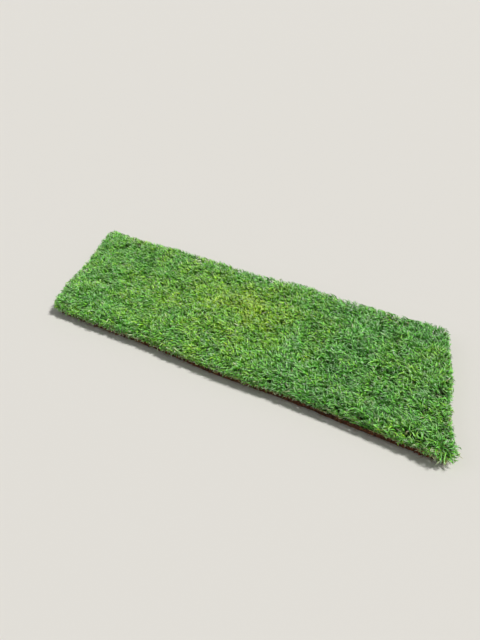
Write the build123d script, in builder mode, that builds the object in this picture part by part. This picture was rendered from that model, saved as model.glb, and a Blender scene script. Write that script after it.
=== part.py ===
from build123d import *
import math
import os

# A strip of turf as it lies once unrolled: a mat of soil bound by roots, with the grass growing on it.
# X runs along the strip, Y across it and Z up. The origin is on the ground, under the strip's middle.

# The cut mat, in millimetres
strip_length = 1420.0  # along a long edge, from end cut to end cut
strip_width = 500.0
mat_thickness = 22.0
end_skew = 180.0  # how far each end cut slants along the strip over its width
cut_corner_radius = 14.0  # the mat's four upright corners
base_edge_radius = 4.0  # worn edge round the underside

# The grass on it
grass_height = 38.0  # mean height above the mat
overhang = 9.0  # how far the blades lean out past the mat
grass_corner_radius = 26.0
crown_radius = 17.0  # rounded shoulder where the outer blades splay
crown_room = 0.8  # from the highest mound up to where the shoulder would end

# How the cut edges stray from straight lines
side_stray = 4.5
side_waves = 2.5
end_stray = 7.0
end_waves = 1.0
points_per_wave = 4
wave_starts = (0.05, 0.55, 0.40, 0.30)  # share of a wave: front, right end, back, left end

# The slow rise and fall of the grass
roll_height = 2.2
roll_length = 520.0  # from crest to crest along the strip
roll_breadth = 640.0  # from crest to crest across it
roll_crest = (-75.0, -50.0)
drift_height = 1.4
drift_length = 1040.0  # a longer wave that runs across the strip at 45 degrees

# The mounds of thicker growth on it
mound_height = 2.8
mound_length = 190.0  # from crest to crest along a row
mound_breadth = 170.0  # from row to row
mound_slant = 0.3  # how far a row strays sideways over its run


def corner(along, across, grow):
    """A corner of the strip, moved out by grow: along is 1 at the right end, across is 1 at the back."""
    y = across * (strip_width / 2 + grow)
    slant = math.hypot(end_skew, strip_width) / strip_width
    x = along * (strip_length / 2 + grow * slant) - end_skew * y / strip_width
    return Vector(x, y)


def cut_edge(start, end, stray, waves, wave_start):
    """Points of one cut edge, which strays from the straight line between its two corners."""
    run = end - start
    outward = Vector(run.Y, -run.X).normalized()
    count = max(points_per_wave, round(waves * points_per_wave) + 1)
    points = []
    for step in range(count + 1):
        share = step / count
        swing = math.sin(2 * math.pi * (waves * share + wave_start)) * math.sin(math.pi * share)
        points.append(start + run * share + outward * (stray * swing))
    return points


def strip_outline(grow):
    """The strip seen from above, anticlockwise from the front left corner, grown by grow."""
    corners = [corner(along, across, grow) for along, across in ((-1, -1), (1, -1), (1, 1), (-1, 1))]
    edges = ((side_stray, side_waves), (end_stray, end_waves)) * 2
    with BuildLine() as outline:
        for number, (stray, waves) in enumerate(edges):
            start = corners[number]
            end = corners[(number + 1) % len(corners)]
            Spline(*cut_edge(start, end, stray, waves, wave_starts[number]))
    return outline.line


def grass_top(x, y):
    """Height of the blade tips over the ground at a point of the strip."""
    along = math.cos(2 * math.pi * (x - roll_crest[0]) / roll_length)
    across = math.cos(2 * math.pi * (y - roll_crest[1]) / roll_breadth)
    drift = math.sin(2 * math.pi * (x + y) / drift_length)
    mound_along = math.cos(2 * math.pi * (x + mound_slant * y) / mound_length)
    mound_across = math.cos(2 * math.pi * (y - mound_slant * x) / mound_breadth)
    swell = roll_height * along * across + drift_height * drift + mound_height * mound_along * mound_across
    return mat_thickness + grass_height + swell


def evenly(half, spacing):
    """Places from -half to half, about as far apart as spacing."""
    count = 2 * math.ceil(half / spacing)
    return [half * (2 * step / count - 1) for step in range(count + 1)]


# Soil and roots, cut square at the sides
with BuildPart() as soil_mat:
    with BuildSketch(Plane.XY):
        add(strip_outline(0))
        make_face()
    extrude(amount=mat_thickness)
    fillet(soil_mat.edges().filter_by(Axis.Z), radius=cut_corner_radius)
    base_edges = soil_mat.faces().sort_by(Axis.Z)[0].edges()
    fillet(base_edges, radius=min(base_edge_radius, mat_thickness / 2, cut_corner_radius / 2))
soil_mat.part.label = "soil_mat"

# The rise and fall of the grass, as the top of a slab larger than the strip
point_spacing = min(mound_length, mound_breadth) / points_per_wave
half_span = corner(1, -1, overhang).X + point_spacing
half_breadth = strip_width / 2 + overhang + point_spacing
rows = [
    [Vector(x, y, grass_top(x, y)) for x in evenly(half_span, point_spacing)]
    for y in evenly(half_breadth, point_spacing)
]
with BuildPart() as rolling_slab:
    rolling_top = Face.make_surface_from_array_of_points(rows)
    extrude(rolling_top, amount=mat_thickness + grass_height, dir=(0, 0, -1))

# Grass, seated on the whole mat and standing out past its edges
shoulder_end = max(point.Z for row in rows for point in row) + crown_room
with BuildPart() as grass_sward:
    with BuildSketch(Plane.XY.offset(mat_thickness)):
        add(strip_outline(overhang))
        make_face()
    extrude(amount=shoulder_end - mat_thickness)
    fillet(grass_sward.edges().filter_by(Axis.Z), radius=grass_corner_radius)
    shoulder_edges = grass_sward.faces().sort_by(Axis.Z)[-1].edges()
    fillet(shoulder_edges, radius=min(crown_radius, 0.8 * grass_height, 0.8 * grass_corner_radius))
    add(rolling_slab.part, mode=Mode.INTERSECT)
grass_sward.part.label = "grass_sward"

os.makedirs("parts", exist_ok=True)
export_step(soil_mat.part, "parts/soil_mat.step")
export_step(grass_sward.part, "parts/grass_sward.step")
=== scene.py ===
import math

import bmesh
import bpy
import numpy as np
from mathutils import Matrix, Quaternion, Vector, noise
from mathutils.bvhtree import BVHTree


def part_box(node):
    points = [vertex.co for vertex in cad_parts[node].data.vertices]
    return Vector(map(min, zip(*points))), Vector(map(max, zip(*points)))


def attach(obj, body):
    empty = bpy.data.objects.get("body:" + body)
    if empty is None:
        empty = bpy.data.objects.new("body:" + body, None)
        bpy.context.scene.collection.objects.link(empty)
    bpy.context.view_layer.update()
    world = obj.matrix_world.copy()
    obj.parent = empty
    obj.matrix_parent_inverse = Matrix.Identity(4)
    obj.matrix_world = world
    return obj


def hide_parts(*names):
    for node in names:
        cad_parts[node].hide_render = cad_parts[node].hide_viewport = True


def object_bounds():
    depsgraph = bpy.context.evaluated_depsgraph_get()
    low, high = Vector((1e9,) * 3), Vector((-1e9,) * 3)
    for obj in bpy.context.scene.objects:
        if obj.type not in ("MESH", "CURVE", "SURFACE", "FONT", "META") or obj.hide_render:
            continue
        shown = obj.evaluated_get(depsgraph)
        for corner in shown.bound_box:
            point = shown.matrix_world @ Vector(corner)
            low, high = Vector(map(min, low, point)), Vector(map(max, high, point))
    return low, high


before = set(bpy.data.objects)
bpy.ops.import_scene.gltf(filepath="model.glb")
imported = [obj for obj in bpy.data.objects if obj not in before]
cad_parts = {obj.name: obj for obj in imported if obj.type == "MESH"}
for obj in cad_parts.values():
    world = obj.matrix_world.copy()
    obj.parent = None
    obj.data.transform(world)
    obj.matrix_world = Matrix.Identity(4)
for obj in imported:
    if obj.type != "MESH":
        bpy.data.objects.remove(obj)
cad_low, cad_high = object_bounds()

# A laid strip of turf: a cut mat of red-brown soil and roots, with coarse grass leaning out past its edges.
# Lengths are in metres and angles in radians. X runs along the strip, Y across it and Z up.

merge_gap = 1e-5  # points nearer to each other than this are one
chance = np.random.default_rng(41)
mat_low, mat_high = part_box("soil_mat")
mat_top = mat_high.z

# The soil
soil_grain = 0.0042  # spacing of the points that the soil's surface is made of
plain_top_start = 0.014  # how far in from the cut edge the soil's top turns plain
clod_gap = 0.0075  # how deep the crevices between clods run into the cut sides
clod_breadth = 0.012
cut_crumble = 0.0055  # how far smaller lumps have dropped out of them
cut_crumble_breadth = 0.007
cut_waver = 0.0030  # how far they stray in and out
cut_waver_breadth = 0.030
base_crumble = 0.0030  # how deep the underside is torn
base_crumble_breadth = 0.016
# The soil's painted shade: darker the deeper a point lies between clods on the cut sides or up in the torn
# underside.
painted_shade_mark = "sunk"  # of the shares that tell how deep the points of the sides and the underside lie
painted_shade_start = 0.0030  # how far in the cut sides start to darken
painted_shade_end = 0.0080
crumb_count = 1500
least_crumb = 0.0007  # radius of the smallest
most_crumb = 0.0038

# The roots
root_count = 1300
root_inset = 0.001  # from the soil's surface to where a root starts
root_rings = (0.0, 0.35, 0.7)  # places of a root's sections, as shares of its length
root_widths = (1.0, 0.85, 0.6, 0.2)  # at each section and at the tip, as shares of the width
root_length = (0.006, 0.020)
root_width = (0.0005, 0.0010)
root_stain = 0.03  # breadth of a root on the colour map
base_root_count = 640  # matted against the underside
base_root_inset = 0.015  # from the cut edge
base_root_length = (0.02, 0.07)
base_root_width = (0.0008, 0.0015)

# The shoots
band_count = 5  # of the pieces they are made as, side by side along the strip
shoot_spacing = 0.0074
shoot_scatter = 0.45  # how far a shoot strays from its row, as a share of the spacing
shoot_inset = 0.0015  # from the cut edge
stem_share = (0.66, 0.92)  # of the sward's height
stem_width = 0.0017
stem_depth = 0.001  # of its foot in the soil
hollow_size = 0.028
hollow_thinning = 0.34  # share of the shoots that are missing in the middle of a hollow
hollow_drop = 0.24  # how much less the others grow there, as a share
tuft_size = 0.045
tuft_rise = 0.10
own_growth = 0.06  # how much blades that stand together differ in growth, as a share
rim_breadth = 0.022  # of the uneven, drier and more splayed growth along the cut edges

# The blades' kinds, side by side on the colour map that runners and roots have as well
colour_map = "OFBake"
tint_count = 64
bleached_tint = 57  # the first of the pale ones
straw_tint = 60
stem_tint = 62
bleached_to_dry = 2.5  # bleached and dry blades together, for each dry one

# The blades' shapes
low_rings = (0.0, 0.5)  # places of a low blade's sections, as shares of its length
low_widths = (0.8, 1.0)  # at each section, as shares of the blade's width
low_length = (0.017, 0.027)
upper_rings = (0.0, 0.36, 0.74)
upper_widths = (0.62, 1.0, 0.7)
upper_length = (0.013, 0.023)
upper_start = 0.6  # how far up the stem the blades start that reach for the sward's top
keel_depth = 0.20  # of a blade's width
blade_sides = ((0.0, 0.5), (0.5, 1.0), (1.0, 0.0))  # underneath on the left and on the right, and on top

# A shoot's blades: place up the stem, least and most tilt, bend, width, sections and their widths
shoot_blades = (
    (0.45, 0.85, 1.35, 0.5, 0.0032, low_rings, low_widths),
    (0.72, 0.70, 1.25, 0.6, 0.0031, low_rings, low_widths),
    (0.87, 0.55, 1.20, 0.6, 0.0029, upper_rings, upper_widths),
    (0.99, 0.35, 1.10, 0.8, 0.0028, upper_rings, upper_widths),
)

# The blades that hang over the cut edges
skirt_count = 5200  # before some are left out where the soil shows
skirt_inset = (0.001, 0.008)  # from the cut edge
skirt_rise = 0.026  # height over the soil of the highest
skirt_rings = (0.0, 0.34, 0.72)
skirt_widths = (0.62, 1.0, 0.74)
skirt_length = (0.014, 0.030)
skirt_width = (0.0024, 0.0040)
droop_patch_size = 0.16  # of the places where they hang down

# The runners
runner_count = 420
runner_length = (0.04, 0.09)
runner_width = (0.0014, 0.0024)
runner_sections = 9
runner_joints = 6
runner_swell = 0.22  # how much thicker a runner is at its joints
runner_stain = 0.04  # breadth of a runner on the colour map

# The room that the grass keeps within
shoulder = 0.017  # rounded shoulder of the sward's outline
tip_rise = 0.003  # how far the tips stand over the sward's solid
ceiling = cad_high.z + 0.0016  # which nothing passes
top_room = 0.0010
free_overhang = 0.006  # how far past the mat a blade leans before it is pressed back
stray_room = 0.005
stretch = (0.55, 1.3)  # least and most that a blade is drawn out to reach its height
freedom_range = (0.05, 2.2)  # of how far a blade may stray, as a share of the usual
rim_rise = 0.0035  # how much taller a blade at the rim stands for each share of freedom more
rest_margin = 0.0012  # least height of anything that droops to the ground

# The front right corner, where the longest blades sprawl over the ground
sprawl_reach = 0.10
sprawl_overhang = 0.017

# The stretch of the front edge where the grass leaves most of the soil bare
bare_middle = 0.54
bare_reach = 0.17
bare_overhang = 0.35  # of the usual overhang

# The blades' tints, where 0 is the darkest green and 1 the yellowest
mean_tint = 0.30
most_tint = 0.94
patch_tint = 0.12  # most that a patch differs from the mean
tint_patch_size = 0.34
small_patch_tint = 0.16
small_tint_patch_size = 0.07
own_tint = 0.14
warm_tint = 0.44  # how much yellower the middle of the yellowest growth is
warm_patch = (-0.08, 0.07)
warm_patch_size = (0.36, 0.16)

# The prevailing lean of the grass, towards the left end
lean_heading = math.radians(183)
lean_pull = 1.25
sway_turn = 1.3  # most that a patch is turned from it
sway_patch_size = 0.085
wide_sway_turn = 0.6
wide_sway_patch_size = 0.30
stem_scatter = 0.8  # pull of a stem's own heading
blade_scatter = 1.1
edge_push = 3.2  # most pull outwards at the cut edges
edge_push_reach = 0.026

# The surroundings' brightness, as light and to the eye
even_light = 0.20
backdrop_light = 0.76

# The grid that holds the strip's outlines and heights
grid_step = 0.004
grid_margin = 0.024
grid_x = np.arange(cad_low.x - grid_margin, cad_high.x + grid_margin, grid_step)
grid_y = np.arange(cad_low.y - grid_margin, cad_high.y + grid_margin, grid_step)
grid_points = np.stack(np.meshgrid(grid_x, grid_y), axis=-1)


def smooth_share(low, high, value):
    """0 below low, 1 above high, and a smooth rise between them."""
    share = np.clip((value - low) / (high - low), 0, 1)
    return share * share * (3 - 2 * share)


def spread(low, high, count):
    return chance.uniform(low, high, count)


# Outlines and heights read from the frame

def rim_of(node, level):
    """Both ends of each straight bit of a node's outline at a level, seen from above."""
    shape = bmesh.new()
    shape.from_mesh(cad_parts[node].data)
    bmesh.ops.remove_doubles(shape, verts=shape.verts, dist=merge_gap)
    bits = []
    for edge in shape.edges:
        level_edge = all(abs(vert.co.z - level) < merge_gap for vert in edge.verts)
        tilts = sorted(abs(face.normal.z) for face in edge.link_faces)
        if level_edge and tilts[0] < 0.5 < tilts[-1]:
            bits.append([vert.co.xy.to_tuple() for vert in edge.verts])
    shape.free()
    bits = np.array(bits)
    return bits[:, 0], bits[:, 1]


def depth_inside(points, rim):
    """How deep each point lies inside an outline, and negative outside it."""
    start, end = rim
    run = end - start
    offset = points[:, None] - start
    share = np.clip((offset * run).sum(2) / (run * run).sum(1), 0, 1)
    gap = np.linalg.norm(offset - share[..., None] * run, axis=2).min(1)
    level = points[:, 1:2]
    spans = (start[:, 1] > level) != (end[:, 1] > level)
    rise = np.where(run[:, 1] == 0, 1, run[:, 1])
    crossing = start[:, 0] + (level - start[:, 1]) / rise * run[:, 0]
    inside = (spans & (points[:, 0:1] < crossing)).sum(1) % 2 == 1
    return np.where(inside, gap, -gap)


def depth_field(rim):
    return np.array([depth_inside(row, rim) for row in grid_points])


def height_field(node):
    """The height of a node's top over the grid, and 0 beside the node."""
    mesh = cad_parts[node].data
    corners = [vert.co for vert in mesh.vertices]
    tree = BVHTree.FromPolygons(corners, [tuple(face.vertices) for face in mesh.polygons])
    heights = np.zeros(grid_points.shape[:2])
    for row, column in np.ndindex(heights.shape):
        x, y = grid_points[row, column]
        hit = tree.ray_cast(Vector((x, y, 1.0)), Vector((0, 0, -1)))[0]
        if hit is not None:
            heights[row, column] = hit.z
    return heights


def roof_field():
    """How high the sward reaches: its top, rounded down over the shoulder and past the edge."""
    in_from_edge = np.maximum(shoulder - sward_depth, 0)
    inner = grid_points + np.stack([inward_x, inward_y], axis=-1) * in_from_edge[..., None]
    drop = shoulder - np.sqrt(np.maximum(shoulder**2 - np.minimum(in_from_edge, shoulder) ** 2, 0))
    return np.minimum(read(sward_top, inner) + tip_rise, ceiling - top_room) - drop


def cloud_field(size, seed):
    """Soft random patches of about that size, from -1 to 1."""
    step = [noise.noise(Vector((x / size, y / size, seed * 7.3))) for x, y in grid_points.reshape(-1, 2)]
    field = np.array(step).reshape(grid_points.shape[:2])
    return np.clip(field * 1.9, -1, 1)


def read(field, places):
    """A field's value at each place, from the four grid points round it."""
    column = np.clip((places[..., 0] - grid_x[0]) / grid_step, 0, len(grid_x) - 1.001)
    row = np.clip((places[..., 1] - grid_y[0]) / grid_step, 0, len(grid_y) - 1.001)
    left = column.astype(int)
    front = row.astype(int)
    across = column - left
    along = row - front
    near = field[front, left] * (1 - across) + field[front, left + 1] * across
    far = field[front + 1, left] * (1 - across) + field[front + 1, left + 1] * across
    return near * (1 - along) + far * along


mat_depth = depth_field(rim_of("soil_mat", mat_top))
sward_depth = depth_field(rim_of("grass_sward", mat_top))
sward_top = height_field("grass_sward")
inward_y, inward_x = np.gradient(mat_depth, grid_step)
sward_roof = roof_field()
hollows = cloud_field(hollow_size, 1)
tufts = cloud_field(tuft_size, 2)
sway_patches = cloud_field(sway_patch_size, 3)
wide_sway_patches = cloud_field(wide_sway_patch_size, 4)
tint_patches = cloud_field(tint_patch_size, 5)
small_tint_patches = cloud_field(small_tint_patch_size, 6)
droop_patches = cloud_field(droop_patch_size, 7)


# Finishes

def paint(red, green, blue):
    """A colour as it looks on a screen, from 0 to 255, as the shader's own linear values."""
    shares = [channel / 255 for channel in (red, green, blue)]
    linear = [share / 12.92 if share <= 0.04045 else ((share + 0.055) / 1.055) ** 2.4 for share in shares]
    return (*linear, 1.0)


class Finish:
    """A material and the nodes that make it."""

    def __init__(self, name):
        self.material = bpy.data.materials.new(name)
        self.material.use_nodes = True
        self.tree = self.material.node_tree
        self.shader = self.tree.nodes["Principled BSDF"]

    def add(self, kind, inputs=None, **settings):
        """A new node, with its inputs linked to sockets or set to values."""
        made = self.tree.nodes.new("ShaderNode" + kind)
        for setting, value in settings.items():
            setattr(made, setting, value)
        for name, value in (inputs or {}).items():
            self.feed(made.inputs[name], value)
        return made

    def feed(self, socket, value):
        if isinstance(value, bpy.types.NodeSocket):
            self.tree.links.new(value, socket)
        else:
            socket.default_value = value

    def surface(self, colour, roughness):
        self.feed(self.shader.inputs["Base Color"], colour)
        self.feed(self.shader.inputs["Roughness"], roughness)

    def relief(self, height, depth, strength):
        """Raises the surface by the height, where 1 stands depth above 0."""
        bump = self.add("Bump", {"Strength": strength, "Distance": depth, "Height": height})
        self.feed(self.shader.inputs["Normal"], bump.outputs["Normal"])

    def map_place(self):
        """Where a point lies on the colour map: across it, and up it."""
        place = self.add("SeparateXYZ", {"Vector": self.add("UVMap", uv_map=colour_map).outputs["UV"]})
        return place.outputs["X"], place.outputs["Y"]

    def math(self, operation, first, second=0.0):
        return self.add("Math", {0: first, 1: second}, operation=operation).outputs[0]

    def times(self, first, second):
        return self.math("MULTIPLY", first, second)

    def repeats(self, value, count):
        """A value that runs from 0 to 1 that many times over."""
        return self.math("FRACT", self.times(value, count))

    def rise(self, value, low, high, to_low=0.0, to_high=1.0):
        """A value moved from one range to another and kept in it."""
        inputs = {"Value": value, "From Min": low, "From Max": high, "To Min": to_low, "To Max": to_high}
        return self.add("MapRange", inputs, interpolation_type="SMOOTHSTEP").outputs["Result"]

    def blend(self, share, first, second, way="MIX"):
        """Two colours mixed by a share."""
        made = self.add("Mix", data_type="RGBA", blend_type=way)
        self.feed(made.inputs[0], share)
        self.feed(made.inputs[6], first)
        self.feed(made.inputs[7], second)
        return made.outputs[2]

    def shaded(self, colour, shade):
        """A colour made darker where the shade is under 1, and lighter where it is over it."""
        grey = self.add("CombineColor", {0: shade, 1: shade, 2: shade}).outputs[0]
        return self.blend(1.0, colour, grey, "MULTIPLY")

    def ramp(self, value, stops):
        """A colour for each value, from (place, colour) stops."""
        made = self.add("ValToRGB", {"Fac": value})
        scale = made.color_ramp
        while len(scale.elements) < len(stops):
            scale.elements.new(0.5)
        for element, (place, colour) in zip(scale.elements, stops):
            element.position = place
            element.color = colour
        return made.outputs["Color"]

    def grain(self, where, size, detail, roughness=0.5):
        """Soft noise whose lumps are about size across."""
        inputs = {"Vector": where, "Scale": 1 / size, "Detail": detail, "Roughness": roughness}
        return self.add("TexNoise", inputs).outputs["Fac"]


def blade_finish():
    """Living and dry blades, with painted shade low down and a painted highlight near the tips of some
    kinds. Their kinds lie side by side on the map, with each blade's tip at the top.
    """
    finish = Finish("grass_blades")
    column, up = finish.map_place()
    kinds = finish.times(column, float(tint_count))
    kind = finish.math("FLOOR", kinds)
    across = finish.math("SUBTRACT", kinds, kind)
    kind_share = finish.math("DIVIDE", kind, tint_count - 1.0)
    colour = finish.ramp(
        kind_share,
        [
            (0.00, paint(80, 168, 56)),
            (0.22, paint(110, 202, 62)),
            (0.44, paint(140, 222, 52)),
            (0.64, paint(172, 231, 32)),
            (0.84, paint(196, 234, 30)),
            (0.90, paint(188, 208, 150)),
            (0.93, paint(206, 218, 176)),
            (0.95, paint(206, 200, 126)),
            (0.965, paint(190, 184, 104)),
            (0.98, paint(112, 168, 58)),
        ],
    )
    own = finish.add("TexWhiteNoise", {"W": kind}, noise_dimensions="1D").outputs["Value"]
    colour = finish.shaded(colour, finish.rise(own, 0.0, 1.0, 0.50, 1.42))
    # Painted shade: the lower part of each blade turns a deep saturated green, which stands in for the
    # shade deep in the sward.
    foot = finish.rise(up, 0.0, 0.45, 0.7, 0.0)
    colour = finish.blend(foot, colour, paint(58, 134, 14))
    # Painted highlight: a pale bluish-white sheen over the upper part of the blades, stronger on some
    # kinds, which stands in for glints of light.
    highlight_strength = finish.rise(finish.repeats(own, 13.0), 0.45, 0.95, 0.26, 0.95)
    painted_highlight = finish.times(finish.rise(up, 0.35, 1.0), highlight_strength)
    colour = finish.blend(painted_highlight, colour, paint(226, 242, 224))
    scorched = finish.math("GREATER_THAN", finish.repeats(own, 7.0), 0.88)
    tip = finish.times(finish.rise(up, 0.84, 0.97), scorched)
    colour = finish.blend(finish.times(tip, 0.7), colour, paint(202, 186, 118))
    from_middle = finish.math("ABSOLUTE", finish.math("SUBTRACT", across, 0.5))
    rib = finish.rise(from_middle, 0.03, 0.09, 1.0, 0.0)
    colour = finish.blend(finish.times(rib, 0.35), colour, paint(188, 214, 150))
    veins = finish.math("SINE", finish.times(from_middle, 70.0))
    colour = finish.shaded(colour, finish.rise(veins, -1.0, 1.0, 0.94, 1.04))
    finish.surface(colour, finish.rise(veins, -1.0, 1.0, 0.28, 0.38))
    finish.shader.inputs["Specular IOR Level"].default_value = 0.45
    groove = finish.math("ADD", finish.times(veins, 0.12), finish.times(from_middle, 2.0))
    finish.relief(groove, 0.0004, 0.6)
    return finish.material


def soil_finish():
    """Red-brown soil with fine grit, paler on dried clods, painted shade deep between clods and in the torn
    underside, and darker litter on top between the shoots.
    """
    finish = Finish("cut_soil")
    where = finish.add("TexCoord").outputs["Object"]
    patches = finish.grain(where, 0.045, 3.0)
    clods = finish.grain(where, 0.006, 4.0, 0.6)
    colour = finish.ramp(
        clods,
        [
            (0.30, paint(52, 30, 17)),
            (0.46, paint(100, 58, 32)),
            (0.58, paint(142, 88, 50)),
            (0.74, paint(188, 134, 88)),
        ],
    )
    colour = finish.blend(finish.rise(patches, 0.40, 0.66, 0.0, 0.5), colour, paint(142, 74, 40))
    grit = finish.add("TexVoronoi", {"Vector": where, "Scale": 420.0}, feature="F1").outputs["Distance"]
    colour = finish.blend(finish.rise(grit, 0.10, 0.20, 0.55, 0.0), colour, paint(206, 170, 132))
    sunk = finish.add("Attribute", attribute_name=painted_shade_mark).outputs["Fac"]
    # Painted shade: near-black brown deep between the clods and in the hollows of the underside.
    colour = finish.blend(finish.times(sunk, 0.8), colour, paint(24, 13, 8))
    height = finish.add("SeparateXYZ", {"Vector": where}).outputs["Z"]
    litter = finish.ramp(
        finish.grain(where, 0.004, 3.0, 0.6),
        [
            (0.35, paint(24, 40, 8)),
            (0.6, paint(50, 70, 18)),
            (0.75, paint(112, 110, 52)),
        ],
    )
    colour = finish.blend(finish.rise(height, mat_top - 0.0022, mat_top - 0.0006), colour, litter)
    finish.surface(colour, finish.rise(clods, 0.3, 0.7, 0.98, 0.86))
    finish.relief(finish.grain(where, 0.0022, 5.0, 0.65), 0.0016, 0.9)
    return finish.material


def root_finish():
    """Pale fibrous roots, stained by the soil. Roots of each stain lie side by side on the map."""
    finish = Finish("roots")
    stain, up = finish.map_place()
    colour = finish.ramp(
        stain,
        [
            (0.0, paint(92, 56, 36)),
            (0.4, paint(150, 106, 68)),
            (0.75, paint(196, 160, 112)),
            (1.0, paint(220, 198, 152)),
        ],
    )
    bands = finish.math("SINE", finish.times(up, 60.0))
    colour = finish.blend(finish.rise(bands, 0.2, 1.0, 0.0, 0.35), colour, paint(110, 72, 46))
    finish.surface(colour, 0.8)
    finish.relief(bands, 0.0002, 0.5)
    return finish.material


def runner_finish():
    """Creeping runners: pale green to straw, with a brown scale at each joint."""
    finish = Finish("runners")
    age, up = finish.map_place()
    colour = finish.ramp(
        age,
        [
            (0.0, paint(150, 168, 96)),
            (0.45, paint(178, 186, 110)),
            (0.8, paint(196, 184, 112)),
            (1.0, paint(168, 142, 84)),
        ],
    )
    joints = finish.repeats(up, float(runner_joints))
    scale = finish.rise(joints, 0.0, 0.3, 0.75, 0.0)
    finish.surface(finish.blend(scale, colour, paint(128, 92, 58)), 0.55)
    finish.relief(joints, 0.0003, 0.5)
    return finish.material


# Objects

def add_object(name, data):
    made = bpy.data.objects.new(name, data)
    bpy.context.collection.objects.link(made)
    return made


def select_only(piece):
    bpy.ops.object.select_all(action="DESELECT")
    piece.select_set(True)
    bpy.context.view_layer.objects.active = piece


def apply_modifier(piece, kind, **settings):
    modifier = piece.modifiers.new(kind.lower(), kind)
    for setting, value in settings.items():
        setattr(modifier, setting, value)
    select_only(piece)
    bpy.ops.object.modifier_apply(modifier=modifier.name)


# Soil

def lumps(kind, size, **settings):
    texture = bpy.data.textures.new(kind.lower(), kind)
    texture.noise_scale = size
    for setting, value in settings.items():
        setattr(texture, setting, value)
    return texture


def mark_faces(piece, chosen):
    """Selects the faces that a test of each picks, and nothing else."""
    bpy.ops.mesh.select_all(action="DESELECT")
    bpy.ops.mesh.select_mode(type="FACE")
    bpy.ops.object.mode_set(mode="OBJECT")
    for face in piece.data.polygons:
        face.select = bool(chosen(face))
    bpy.ops.object.mode_set(mode="EDIT")


def weigh(piece, name, none, full):
    """A vertex group whose weight rises from 0 to 1 as the normal's Z goes from none to full.

    Where full is over 0, a normal that points down counts as much as one that points up."""
    upright = np.array([vert.normal.z for vert in piece.data.vertices])
    weights = np.round(smooth_share(none, full, upright if full < 0 else np.abs(upright)), 1)
    group = piece.vertex_groups.new(name=name)
    for level in np.unique(weights):
        members = np.nonzero(weights == level)[0].tolist()
        group.add(members, float(level), "REPLACE")


def cut_soil():
    """The mat: crumbled cut sides, a rough torn underside, and a plain top that the grass hides."""
    piece = add_object("soil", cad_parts["soil_mat"].data.copy())
    piece.data.materials.clear()
    select_only(piece)
    bpy.ops.object.mode_set(mode="EDIT")
    bpy.ops.mesh.select_all(action="SELECT")
    bpy.ops.mesh.remove_doubles(threshold=merge_gap)
    bpy.ops.object.mode_set(mode="OBJECT")
    apply_modifier(piece, "REMESH", mode="VOXEL", voxel_size=soil_grain)
    bpy.ops.object.mode_set(mode="EDIT")
    mark_faces(piece, lambda face: abs(face.normal.z) < 0.6)
    bpy.ops.mesh.subdivide(number_cuts=1)
    mark_faces(
        piece, lambda face: face.normal.z > 0.9 and read(mat_depth, np.array(face.center)) > plain_top_start
    )
    bpy.ops.mesh.delete(type="FACE")
    bpy.ops.mesh.select_mode(type="EDGE")
    bpy.ops.mesh.select_non_manifold()
    bpy.ops.mesh.edge_face_add()
    bpy.ops.object.mode_set(mode="OBJECT")
    weigh(piece, "underside", -0.6, -0.9)
    apply_modifier(piece, "DECIMATE", ratio=0.5, vertex_group="underside")
    weigh(piece, "cut_sides", 0.95, 0.55)
    waver = lumps("CLOUDS", cut_waver_breadth)
    clods = lumps("VORONOI", clod_breadth)
    crumble = lumps("CLOUDS", cut_crumble_breadth, noise_type="HARD_NOISE", noise_depth=1)
    tears = lumps("CLOUDS", base_crumble_breadth, noise_depth=3)
    for texture, strength, mid_level, group in (
        (waver, cut_waver, 0.9, "cut_sides"),
        (clods, -clod_gap, 0.15, "cut_sides"),
        (crumble, cut_crumble, 0.7, "cut_sides"),
        (tears, base_crumble, 1.1, "underside"),
    ):
        apply_modifier(
            piece, "DISPLACE", texture=texture, strength=strength, mid_level=mid_level, vertex_group=group
        )
    for vert in piece.data.vertices:
        vert.co.z = max(vert.co.z, 0)
    mark_painted_shade(piece)
    select_only(piece)
    bpy.ops.object.shade_smooth()
    piece.data.materials.append(soil_finish())
    return piece


def mark_painted_shade(piece):
    """Notes on each point of the sides and the underside how deep it lies between clods, from 0 to 1, which
    is how much painted shade it gets.
    """
    corners = np.array([vert.co[:] for vert in piece.data.vertices])
    upright = np.array([vert.normal.z for vert in piece.data.vertices])
    depth = read(mat_depth, corners)
    sides = smooth_share(painted_shade_start, painted_shade_end, depth) * smooth_share(0.8, 0.5, np.abs(upright))
    base = smooth_share(0.3, 0.8, corners[:, 2] / base_crumble) * smooth_share(-0.7, -0.9, upright)
    sunk = np.maximum(sides, 0.7 * base)
    piece.data.attributes.new(painted_shade_mark, "FLOAT", "POINT").data.foreach_set("value", sunk)


def points_on_sides(soil, count):
    """Random points on the cut sides, each with the level way out from it."""
    shapes = [tuple(face.vertices) for face in soil.data.polygons]
    surface = BVHTree.FromPolygons([vert.co for vert in soil.data.vertices], shapes)
    start_gap = 0.004  # outside the cut edge, from where the surface is looked for
    search_length = 0.02
    places, inward = rim_places(count, np.full(count, -start_gap))
    found = []
    for (x, y), (way_x, way_y) in zip(places, inward):
        start = Vector((x, y, chance.uniform(0.0015, mat_top - 0.0005)))
        hit = surface.ray_cast(start, Vector((way_x, way_y, 0)), search_length)[0]
        if hit is not None:
            found.append((*hit, -way_x, -way_y, 0))
    found = np.array(found)
    return found[:, :3], found[:, 3:]


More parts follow.
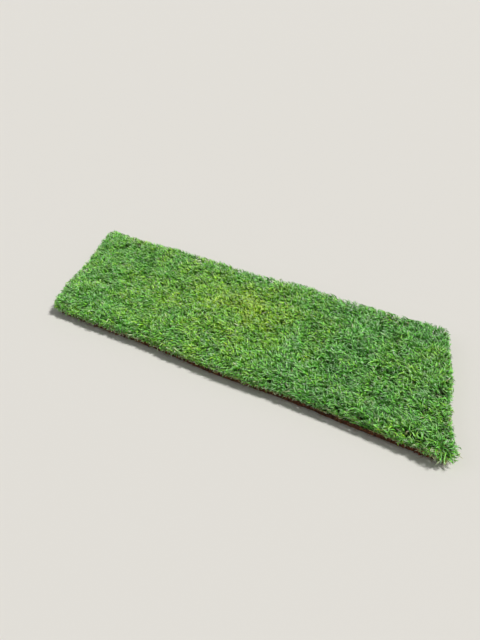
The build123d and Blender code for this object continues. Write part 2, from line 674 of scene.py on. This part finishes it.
def add_crumbs(soil):
    """Crumbs of soil that cling to the cut sides, joined to them."""
    bpy.ops.object.select_all(action="DESELECT")
    bpy.ops.mesh.primitive_ico_sphere_add(subdivisions=1, radius=1)
    lump = bpy.context.active_object
    lump_corners = np.array([vert.co[:] for vert in lump.data.vertices])
    lump_faces = np.array([face.vertices[:] for face in lump.data.polygons])
    bpy.data.objects.remove(lump)
    middles, outward = points_on_sides(soil, crumb_count)
    size = np.minimum(least_crumb + chance.gamma(1.7, 0.0006, len(middles)), most_crumb)[:, None, None]
    middles = middles[:, None] + outward[:, None] * size * 0.3
    corners = middles + lump_corners * size * spread(0.6, 1.3, (len(middles), len(lump_corners), 1))
    corners[..., 2] = np.maximum(corners[..., 2], 0.0002)
    first = len(lump_corners) * np.arange(len(corners))
    faces = (first[:, None, None] + lump_faces).reshape(-1, 3)
    mesh = bpy.data.meshes.new("crumbs")
    mesh.from_pydata(corners.reshape(-1, 3).tolist(), [], faces.tolist())
    mesh.materials.append(soil.data.materials[0])
    made = add_object("crumbs", mesh)
    select_only(soil)
    made.select_set(True)
    bpy.ops.object.join()


# Blades, stems, roots and runners, drawn many at once from arrays

def ways(angle, heading):
    """Unit steps at an angle from upright, each towards a heading."""
    level = np.sin(angle)
    return np.stack([level * np.cos(heading), level * np.sin(heading), np.cos(angle)], axis=1)


def bent_path(foot, heading, tilt, end_tilt, sway, length, shares):
    """Points up many bent blades at once, with the way each runs there. Tilt is measured from upright."""
    points = [foot]
    runs = []
    last = 0.0
    for share in (*shares, 1.0):
        if share > last:
            middle = (share + last) / 2
            step = ways(tilt + (end_tilt - tilt) * middle, heading + sway * middle)
            points.append(points[-1] + step * ((share - last) * length)[:, None])
        runs.append(ways(tilt + (end_tilt - tilt) * share, heading + sway * share))
        last = share
    return np.stack(points, axis=1), np.stack(runs, axis=1)


def blade_corners(points, runs, heading, width, twist, widths):
    """Corners of the blades' sections: left edge, right edge and keel under the middle."""
    side = np.stack([-np.sin(heading), np.cos(heading), np.zeros_like(heading)], axis=1)[:, None]
    side = side - (side * runs).sum(2, keepdims=True) * runs
    side /= np.linalg.norm(side, axis=2, keepdims=True)
    upper = np.cross(runs, side)
    cosine = np.cos(twist)[..., None]
    sine = np.sin(twist)[..., None]
    turned = side * cosine + upper * sine
    upper = upper * cosine - side * sine
    half = (width[:, None] * np.array(widths))[..., None] / 2
    left = points - turned * half
    right = points + turned * half
    keel = points - upper * half * 2 * keel_depth
    return np.stack([left, keel, right], axis=2)


def stalk_corners(points, runs, width, widths, sides):
    """Corners of round stalks' sections."""
    away = np.where(np.abs(runs[..., 2:3]) > 0.9, np.array([1.0, 0, 0]), np.array([0, 0, 1.0]))
    side = np.cross(away, runs)
    side /= np.linalg.norm(side, axis=2, keepdims=True)
    upper = np.cross(runs, side)
    turns = 2 * np.pi * np.arange(sides) / sides
    half = (width[:, None] * np.array(widths))[..., None, None] / 2
    ring = side[:, :, None] * np.cos(turns)[:, None] + upper[:, :, None] * np.sin(turns)[:, None]
    return points[:, :, None] + ring * half


class Bundle:
    """Closed tapering stalks of one kind, gathered as arrays and made one mesh at the end."""

    def __init__(self):
        self.corners = []
        self.faces = []
        self.maps = []
        self.columns = []
        self.total = 0

    def grow(self, rings, tips, shares, map_start, map_width, side_maps=None):
        """Adds stalks from their sections' corners, (stalk, section, corner, xyz), and their tips.

        Each has the stretch of the colour map that starts at map_start, and side_maps says which part of it
        each side takes. Stalks with side_maps are creased along their edges, and the others are round."""
        count, sections, sides = rings.shape[:3]
        spans = side_maps or [(number / sides, (number + 1) / sides) for number in range(sides)]
        tip = sections * sides
        shapes = []
        places = []
        for section in range(sections):
            foot = section * sides
            low = shares[section]
            for number, (near, far) in enumerate(spans):
                here = foot + number
                beside = foot + (number + 1) % sides
                if section < sections - 1:
                    high = shares[section + 1]
                    shapes.append([here, beside, beside + sides, here + sides])
                    places.append([(near, low), (far, low), (far, high), (near, high)])
                else:
                    shapes.append([here, beside, tip])
                    places.append([(near, low), (far, low), ((near + far) / 2, 1.0)])
        for number in range(1, sides - 1):
            shapes.append([0, number + 1, number])
            places.append([(0.0, 0.0), (1.0, 0.0), (0.5, 0.04)])
        first = self.total + (tip + 1) * np.arange(count)
        for size in (4, 3):
            chosen = [number for number, shape in enumerate(shapes) if len(shape) == size]
            if chosen:
                corner_numbers = np.array([shapes[number] for number in chosen])
                place = np.array([places[number] for number in chosen])
                self.faces.append((first[:, None, None] + corner_numbers).reshape(-1, size))
                across = map_start[:, None, None] + place[..., 0] * map_width
                along = np.broadcast_to(place[..., 1], across.shape)
                self.maps.append(np.stack([across, along], axis=-1).reshape(-1, 2))
        corners = np.concatenate([rings.reshape(count, tip, 3), tips[:, None]], axis=1)
        self.corners.append(corners.reshape(-1, 3))
        creased = np.append(np.tile(np.arange(sides), sections), -1)
        self.columns.append(np.tile(creased if side_maps else np.arange(tip + 1), count))
        self.total += (tip + 1) * count

    def piece(self, name, material):
        """The bundle as one mesh object."""
        corners = np.concatenate(self.corners).astype(np.float32)
        loops = np.concatenate([shapes.ravel() for shapes in self.faces]).astype(np.int32)
        sizes = np.concatenate([np.full(len(shapes), shapes.shape[1]) for shapes in self.faces])
        places = np.concatenate(self.maps).astype(np.float32)
        mesh = bpy.data.meshes.new(name)
        mesh.vertices.add(len(corners))
        mesh.vertices.foreach_set("co", corners.ravel())
        mesh.loops.add(len(loops))
        mesh.loops.foreach_set("vertex_index", loops)
        mesh.polygons.add(len(sizes))
        mesh.polygons.foreach_set("loop_start", (np.cumsum(sizes) - sizes).astype(np.int32))
        mesh.update(calc_edges=True)
        mesh.uv_layers.new(name=colour_map).data.foreach_set("uv", places.ravel())
        mesh.validate()
        mesh.polygons.foreach_set("use_smooth", np.ones(len(sizes), bool))
        ends = np.empty(len(mesh.edges) * 2, np.int32)
        mesh.edges.foreach_get("vertices", ends)
        ends = np.concatenate(self.columns)[ends.reshape(-1, 2)]
        crease = (ends[:, 0] == ends[:, 1]) | (ends.min(1) < 0)
        mesh.attributes.new("sharp_edge", "BOOLEAN", "EDGE").data.foreach_set("value", crease)
        mesh.materials.append(material)
        return add_object(name, mesh)


# Grass

def plant_shoots():
    """Where the shoots stand: staggered rows, each shoot moved a little, thinned out where hollows lie."""
    row_gap = shoot_spacing * math.sqrt(3) / 2
    rows = int((mat_high.y - mat_low.y) / row_gap) + 1
    columns = int((mat_high.x - mat_low.x) / shoot_spacing) + 1
    number_x, number_y = np.meshgrid(np.arange(columns), np.arange(rows))
    x = mat_low.x + (number_x + 0.5 * (number_y % 2)) * shoot_spacing
    y = mat_low.y + number_y * row_gap
    places = np.stack([x, y], axis=-1).reshape(-1, 2)
    places += spread(-shoot_scatter, shoot_scatter, places.shape) * shoot_spacing
    depth = read(mat_depth, places)
    thin = smooth_share(0.25, 0.75, read(hollows, places)) * hollow_thinning
    kept = (depth > shoot_inset) & ((chance.random(len(places)) > thin) | (depth < 0.012))
    return places[kept]


def leaning(places, scatter):
    """A heading for each blade: the lean of its patch, outwards near the cut edges, and some chance."""
    depth = read(mat_depth, places)
    patch = read(sway_patches, places) * sway_turn + read(wide_sway_patches, places) * wide_sway_turn
    x = lean_pull * np.cos(lean_heading + patch)
    y = lean_pull * np.sin(lean_heading + patch)
    push = spread(0.0, edge_push, len(places)) * smooth_share(edge_push_reach, 0.0, depth)
    own = spread(-np.pi, np.pi, len(places))
    x += scatter * np.cos(own) - push * read(inward_x, places)
    y += scatter * np.sin(own) - push * read(inward_y, places)
    return np.arctan2(y, x)


def warmth(places):
    """1 in the middle of the yellowest growth, falling to 0 round it."""
    offset = (places - np.array(warm_patch)) / np.array(warm_patch_size)
    return np.exp(-(offset**2).sum(1))


def blade_tints(places, dry_share):
    """The kind of each blade on the colour map: green to yellow-green by patch, some bleached or dry."""
    count = len(places)
    share = mean_tint + patch_tint * read(tint_patches, places)
    share += small_patch_tint * read(small_tint_patches, places)
    share += warm_tint * warmth(places) + chance.normal(0, own_tint, count)
    kinds = (np.clip(share, 0, most_tint) * bleached_tint).astype(int)
    draw = chance.random(count)
    bleached = bleached_tint + chance.integers(0, straw_tint - bleached_tint, count)
    kinds = np.where(draw < bleached_to_dry * dry_share, bleached, kinds)
    return np.where(draw < dry_share, straw_tint + chance.integers(0, stem_tint - straw_tint, count), kinds)


def gentle(excess, room):
    """What is left of an excess that is pressed back into a little room."""
    return room * (1 - np.exp(-np.maximum(excess, 0) / room))


def rim_share(points):
    """1 at the cut edge and past it, falling to 0 at the rim's inner side."""
    return smooth_share(rim_breadth, 0.0, read(mat_depth, points))


def sprawl(points):
    """1 at the front right corner, falling to 0 at its reach."""
    corner = np.array([mat_high.x, mat_low.y])
    return smooth_share(sprawl_reach, 0.0, np.linalg.norm(points[..., :2] - corner, axis=-1))


def bareness(places):
    """1 in the middle of the bare stretch of the front edge, falling to 0 round it."""
    offset = (places[..., 0] - bare_middle) / bare_reach
    return np.exp(-(offset**2)) * smooth_share(0.0, -0.1, places[..., 1])


def settle(points, freedom=1.0):
    """Bends points back towards the sward where they stray over its top or out past its edges.

    Freedom is how far each blade may stray, as a share of the usual."""
    free = free_overhang * freedom * (1 - (1 - bare_overhang) * bareness(points))
    for _ in range(2):
        excess = -read(mat_depth, points) - free - sprawl_overhang * sprawl(points)
        back = np.maximum(excess, 0) - gentle(excess, stray_room)
        inward = np.stack([read(inward_x, points), read(inward_y, points)], axis=-1)
        inward /= np.maximum(np.linalg.norm(inward, axis=-1, keepdims=True), 0.1)
        points[..., :2] += inward * back[..., None]
    raised = rim_rise * (freedom - 1) * rim_share(points)
    roof = np.minimum(read(sward_roof, points) + raised, ceiling - top_room)
    over = np.maximum(points[..., 2] - roof, 0)
    points[..., 2] += gentle(over, top_room) - over
    points[..., 2] = np.maximum(points[..., 2], rest_margin)
    return points


def blades(bundle, foot, heading, tilt, end_tilt, length, width, kinds, rings, widths, reach=None):
    """Adds blades that stay in the sward. Reach is the height that their tips are drawn out to."""
    count = len(foot)
    sway = chance.normal(0, 0.45, count)
    if reach is not None:
        points, _ = bent_path(foot, heading, tilt, end_tilt, sway, length, rings)
        rise = (points[..., 2] - foot[:, 2:3]).max(1)
        length = length * np.clip((reach - foot[:, 2]) / rise, *stretch)
    points, runs = bent_path(foot, heading, tilt, end_tilt, sway, length, rings)
    freedom = np.clip(chance.gamma(1.5, 0.62, count), *freedom_range)
    points = settle(points, freedom[:, None])
    twist_start = chance.normal(0, 0.5, count)
    twist_end = twist_start + chance.normal(0, 0.9, count)
    shares = np.array([*rings, 1.0])
    twist = twist_start[:, None] + (twist_end - twist_start)[:, None] * shares
    corners = blade_corners(points, runs, heading, width, twist, (*widths, 0.0))
    corners[..., 2] = np.clip(corners[..., 2], rest_margin / 2, ceiling)
    bundle.grow(corners[:, :-1], points[:, -1], rings, kinds / tint_count, 1 / tint_count, blade_sides)


def shoots(bundle, places):
    """At each place, a stem with its four blades."""
    count = len(places)
    depth = read(mat_depth, places)
    sunk = smooth_share(0.1, 0.8, read(hollows, places)) * smooth_share(0.0, 0.03, depth)
    growth = 1 + tuft_rise * read(tufts, places) - hollow_drop * sunk
    growth *= chance.normal(1, own_growth, count)
    roof = read(sward_roof, places)
    heading = leaning(places, stem_scatter)
    rim = rim_share(places)
    tilt = spread(0.05, 0.40, count) + 0.55 * rim
    tall = spread(*stem_share, count) * (roof - mat_top) * growth
    foot = np.column_stack([places, np.full(count, mat_top - stem_depth)])
    stem_rings = (0.0,)
    points, runs = bent_path(foot, heading, tilt, tilt + 0.25, np.zeros(count), tall, stem_rings)
    points = settle(points)
    rings = stalk_corners(points, runs, np.full(count, stem_width), (1.0, 0.5), 3)
    stem_kinds = stem_tint + chance.integers(0, tint_count - stem_tint, count)
    bundle.grow(rings[:, :-1], points[:, -1], stem_rings, stem_kinds / tint_count, 1 / tint_count)
    side = spread(-0.5, 0.5, count)
    for at, low, high, bend, broad, rings, widths in shoot_blades:
        upper = at > upper_start
        start = foot + (points[:, -1] - foot) * at
        turned = leaning(places, blade_scatter) + side
        lift = spread(low, high, count) + 0.25 * rim
        end_lift = np.minimum(lift + chance.gamma(3.0, bend / 3, count), 2.75)
        length = spread(*(upper_length if upper else low_length), count)
        width = broad * spread(0.78, 1.24, count)
        dry_share = 0.006 + 0.04 * rim + (0.0 if upper else 0.04)
        kinds = blade_tints(places, dry_share)
        high_share = np.minimum(growth, 1.04) * chance.normal(0.985, own_growth, count)
        reach = mat_top + (roof - mat_top) * high_share if upper else None
        blades(bundle, start, turned, lift, end_lift, length * growth, width, kinds, rings, widths, reach)


def grass():
    """The sward, in bands along the strip."""
    material = blade_finish()
    places = plant_shoots()
    places = places[np.argsort(places[:, 0], kind="stable")]
    made = []
    for number, band in enumerate(np.array_split(places, band_count)):
        bundle = Bundle()
        shoots(bundle, band)
        made.append(bundle.piece(f"grass_band_{number + 1}", material))
    return made


def rim_places(count, inset):
    """Random places along the mat's edge, moved in from it, and the way in from each."""
    start, end = rim_of("soil_mat", mat_top)
    length = np.linalg.norm(end - start, axis=1)
    bit = chance.choice(len(start), count, p=length / length.sum())
    places = start[bit] + (end - start)[bit] * chance.random((count, 1))
    inward = np.column_stack([read(inward_x, places), read(inward_y, places)])
    inward /= np.linalg.norm(inward, axis=1, keepdims=True)
    return places + inward * inset[:, None], inward


def skirt():
    """Blades rooted at the rim that lean out over the soil, and in some places hang down and hide it."""
    places, inward = rim_places(skirt_count, spread(*skirt_inset, skirt_count))
    # Over 0 where the blades hang down, and under 0 where they leave the soil bare
    hang = 0.9 * read(droop_patches, places) + 0.25 - bareness(places) + 1.3 * sprawl(places)
    kept = chance.random(len(places)) < 0.62 + 0.36 * hang
    places, inward, hang = places[kept], inward[kept], hang[kept]
    count = len(places)
    heading = np.arctan2(-inward[:, 1], -inward[:, 0]) + chance.normal(0, 0.6, count)
    rise = chance.random(count) ** 1.4
    foot = np.column_stack([places, mat_top + skirt_rise * rise])
    tilt = spread(0.6, 1.3, count) + 0.12 * hang
    end_tilt = np.minimum(tilt + spread(0.4, 1.3, count) + 0.45 * np.maximum(hang, 0), 2.8)
    length = spread(*skirt_length, count) * (1 + 0.30 * hang)
    width = spread(*skirt_width, count)
    kinds = blade_tints(places, 0.02 + 0.26 * (1 - rise) ** 4)
    bundle = Bundle()
    blades(bundle, foot, heading, tilt, end_tilt, length, width, kinds, skirt_rings, skirt_widths)
    return bundle.piece("grass_skirt", bpy.data.materials["grass_blades"])


def runners():
    """Pale creeping stems low in the grass, some of them bent out over the edge."""
    count = runner_count
    inner = plant_shoots()
    inner = inner[chance.choice(len(inner), count // 2, replace=False)]
    outer_count = count - len(inner)
    outer, inward = rim_places(outer_count, spread(0.004, 0.020, outer_count))
    places = np.concatenate([inner, outer])
    heading = spread(-np.pi, np.pi, count)
    along = np.arctan2(inward[:, 1], inward[:, 0]) + np.pi / 2 + chance.normal(0, 0.3, outer_count)
    heading[len(inner):] = along
    foot = np.column_stack([places, mat_top + spread(0.0005, 0.006, count)])
    shares = tuple(np.arange(runner_sections) / runner_sections)
    tilt = spread(1.2, 1.5, count)
    end_tilt = spread(1.45, 1.75, count)
    length = spread(*runner_length, count)
    sway = chance.normal(0, 0.7, count)
    points, runs = bent_path(foot, heading, tilt, end_tilt, sway, length, shares)
    points = settle(points)
    widths = 1 + runner_swell * np.cos(2 * np.pi * runner_joints * np.array([*shares, 1.0]))
    rings = stalk_corners(points, runs, spread(*runner_width, count), widths, 4)
    bundle = Bundle()
    bundle.grow(rings[:, :-1], points[:, -1], shares, spread(0.0, 1 - runner_stain, count), runner_stain)
    return bundle.piece("runners", runner_finish())


# Roots

def add_roots(bundle, foot, heading, tilt, end_tilt, sway, length, width, lowest):
    """Adds roots that stay above a lowest height."""
    points, runs = bent_path(foot, heading, tilt, end_tilt, sway, length, root_rings)
    points = settle(points)
    rings = stalk_corners(points, runs, width, root_widths, 3)
    rings[..., 2] = np.maximum(rings[..., 2], lowest)
    stain = spread(0.0, 1 - root_stain, len(foot))
    bundle.grow(rings[:, :-1], points[:, -1], root_rings, stain, root_stain)


def roots(soil):
    """Fine roots that stand out of the cut sides, and longer ones matted against the underside."""
    bundle = Bundle()
    foot, outward = points_on_sides(soil, root_count)
    count = len(foot)
    heading = np.arctan2(outward[:, 1], outward[:, 0]) + chance.normal(0, 0.8, count)
    foot -= outward * root_inset
    tilt = spread(1.2, 2.0, count)
    end_tilt = np.minimum(tilt + spread(0.2, 1.2, count), 2.9)
    length = spread(*root_length, count)
    sway = chance.normal(0, 1.2, count)
    width = spread(*root_width, count)
    add_roots(bundle, foot, heading, tilt, end_tilt, sway, length, width, rest_margin / 2)

    x = spread(mat_low.x, mat_high.x, base_root_count)
    y = spread(mat_low.y, mat_high.y, base_root_count)
    places = np.column_stack([x, y])
    places = places[read(mat_depth, places) > base_root_inset]
    count = len(places)
    foot = np.column_stack([places, np.full(count, rest_margin)])
    level = np.full(count, math.pi / 2)
    heading = spread(-np.pi, np.pi, count)
    sway = chance.normal(0, 1.8, count)
    length = spread(*base_root_length, count)
    width = spread(*base_root_width, count)
    add_roots(bundle, foot, heading, level, level, sway, length, width, 0.0)
    return bundle.piece("root_fringe", root_finish())


# Floor, light and camera

def floor():
    bpy.ops.object.select_all(action="DESELECT")
    bpy.ops.mesh.primitive_plane_add(size=30, location=(0, 0, 0))
    ground = bpy.context.active_object
    ground.name = "floor"
    finish = Finish("pale_floor")
    finish.surface(paint(226, 224, 220), 0.9)
    ground.data.materials.append(finish.material)


def turn_towards(made, way):
    """Turns a lamp or a camera so that it looks along a way."""
    made.rotation_mode = "QUATERNION"
    made.rotation_quaternion = way.to_track_quat("-Z", "Y")


def lamp(name, place, softness, strength, colour):
    """A far lamp that shines from a place towards the strip. Softness is its width in degrees."""
    light = bpy.data.lights.new(name, "SUN")
    light.angle = math.radians(softness)
    light.energy = strength
    light.color = colour
    turn_towards(add_object(name, light), -Vector(place))


def lights():
    lamp("key", (1.25, 0.5, 2.1), 9, 2.79, (1.0, 0.985, 0.95))
    lamp("fill", (-2.0, -1.6, 1.8), 40, 0.2, (0.95, 0.98, 1.0))


def surroundings():
    """Even light from all round. Looked at, or mirrored, it shows as a backdrop as pale as the floor."""
    world = bpy.data.worlds.new("studio")
    world.use_nodes = True
    nodes = world.node_tree.nodes
    link = world.node_tree.links.new
    rays = nodes.new("ShaderNodeLightPath")
    seen = rays.outputs["Is Camera Ray"]
    for way in ("Is Glossy Ray", "Is Transmission Ray"):
        either = nodes.new("ShaderNodeMath")
        either.operation = "MAXIMUM"
        link(seen, either.inputs[0])
        link(rays.outputs[way], either.inputs[1])
        seen = either.outputs[0]
    level = nodes.new("ShaderNodeMapRange")
    level.inputs["To Min"].default_value = even_light
    level.inputs["To Max"].default_value = backdrop_light
    link(seen, level.inputs["Value"])
    link(level.outputs["Result"], nodes["Background"].inputs["Strength"])
    nodes["Background"].inputs["Color"].default_value = (1.0, 0.995, 0.98, 1.0)
    bpy.context.scene.world = world


def camera():
    """The photograph's angle on the strip, drawn closer by a longer lens."""
    view = bpy.data.cameras.new("camera")
    view.lens = 35
    view.sensor_width = 36
    made = add_object("camera", view)
    made.location = (0.966, -1.417, 1.269)
    aim = Vector((0.0, 0.0, 0.03))
    turn_towards(made, aim - made.location)
    made.rotation_quaternion @= Quaternion((0, 0, 1), math.radians(-3))
    bpy.context.scene.camera = made


soil = cut_soil()
add_crumbs(soil)
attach(soil, "root")
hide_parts("soil_mat")

for band in grass():
    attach(band, "root")
    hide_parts("grass_sward")

for piece, slot_name, node in (
    (skirt(), "grass", "grass_sward"),
    (runners(), "grass", "grass_sward"),
    (roots(soil), "soil", "soil_mat"),
):
    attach(piece, "root")
    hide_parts(node)

floor()
lights()
surroundings()
camera()
bpy.context.scene.view_settings.view_transform = "Standard"
